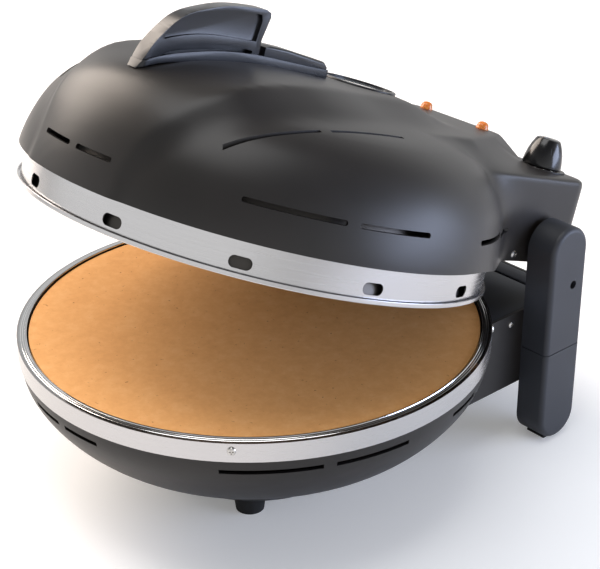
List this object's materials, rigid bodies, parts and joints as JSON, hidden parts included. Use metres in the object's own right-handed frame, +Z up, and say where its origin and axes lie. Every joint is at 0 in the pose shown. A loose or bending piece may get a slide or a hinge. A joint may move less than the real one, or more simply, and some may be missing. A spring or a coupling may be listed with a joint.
{
  "type": "electric pizza maker",
  "caption": "Countertop pizza maker: round baking stone in a bowl-shaped base, heated domed lid with a fin handle hinged between two rear posts, thermostat knob on the lid's tail.",
  "frame": {"origin": "middle of the bounding box's bottom face with the lid at its rest opening, on the worktop", "axes": "+Z up, +Y to the rear where the hinge is, +X to the right of a person in front"},
  "size_m": [0.3472, 0.4208, 0.3654],
  "materials": {
    "shell_plastic": "satin",
    "post_plastic": "satin",
    "handle_plastic": "satin",
    "knob_plastic": "gloss",
    "band_steel": "brushed",
    "rim_steel": "polished",
    "tray_enamel": "satin",
    "stone": "matt",
    "reflector_aluminium": "satin",
    "element_steel": "oxidised",
    "insulation": "matt",
    "window_glass": "clear",
    "lamp_lens": "translucent",
    "screw_steel": "polished",
    "bracket_steel": "zinc",
    "brass": "satin",
    "rubber": "matt",
    "ceramic": "matt"
  },
  "bodies": {
    "base": {"base_shell": "shell_plastic", "base_band": "band_steel", "band_screws": "screw_steel", "stone_tray": "tray_enamel", "stone_rim": "rim_steel", "pizza_stone": "stone", "lower_element": "element_steel", "lower_element_clips": "element_steel", "lower_insulation": "insulation", "terminal_block": "ceramic", "thermal_cutout": "element_steel", "mains_inlet_gland": "rubber", "bottom_cover": "shell_plastic", "front_feet": "rubber", "foot_screws": "screw_steel", "cover_screws": "screw_steel", "neck_cover": "shell_plastic", "rear_cover": "shell_plastic", "neck_screws": "screw_steel", "post_cover_right_upper": "post_plastic", "post_cover_right_lower": "post_plastic", "post_cover_left_upper": "post_plastic", "post_cover_left_lower": "post_plastic", "post_pads": "rubber", "hinge_bracket_right": "bracket_steel", "hinge_bracket_left": "bracket_steel", "hinge_pin_right": "bracket_steel", "hinge_pin_left": "bracket_steel", "bracket_screws": "screw_steel", "post_cover_screws": "screw_steel"},
    "lid": {"lid_shell": "shell_plastic", "lid_band": "band_steel", "lid_reflector": "reflector_aluminium", "upper_element": "element_steel", "upper_element_clips": "element_steel", "lid_insulation": "insulation", "window_sleeve": "reflector_aluminium", "window_glass": "window_glass", "window_bezel": "handle_plastic", "handle_screws": "screw_steel", "handle_base": "handle_plastic", "handle": "handle_plastic", "handle_cap": "handle_plastic", "indicator_lamps": "lamp_lens", "lamp_sockets": "knob_plastic", "dial_plate": "shell_plastic", "thermostat_body": "ceramic", "thermostat_nut": "brass", "lid_hinge_plates": "bracket_steel", "plate_screws": "screw_steel", "hinge_bushes": "brass", "tail_bottom_cover": "shell_plastic", "tail_screws": "screw_steel"},
    "knob": {"thermostat_knob": "knob_plastic", "thermostat_shaft": "brass"}
  },
  "joints": [
    {"name": "lid_hinge", "type": "hinge", "parent": "base", "child": "lid", "pos_m": [0, 0.16346, 0.162], "axis": [-1, 0, 0], "range_deg": [-19.9, 70]},
    {"name": "thermostat_turn", "type": "hinge", "parent": "lid", "child": "knob", "pos_m": [0.0725, 0.19034, 0.20247], "axis": [0, 0.3404, 0.9403], "range_deg": [-270, 0]}
  ]
}
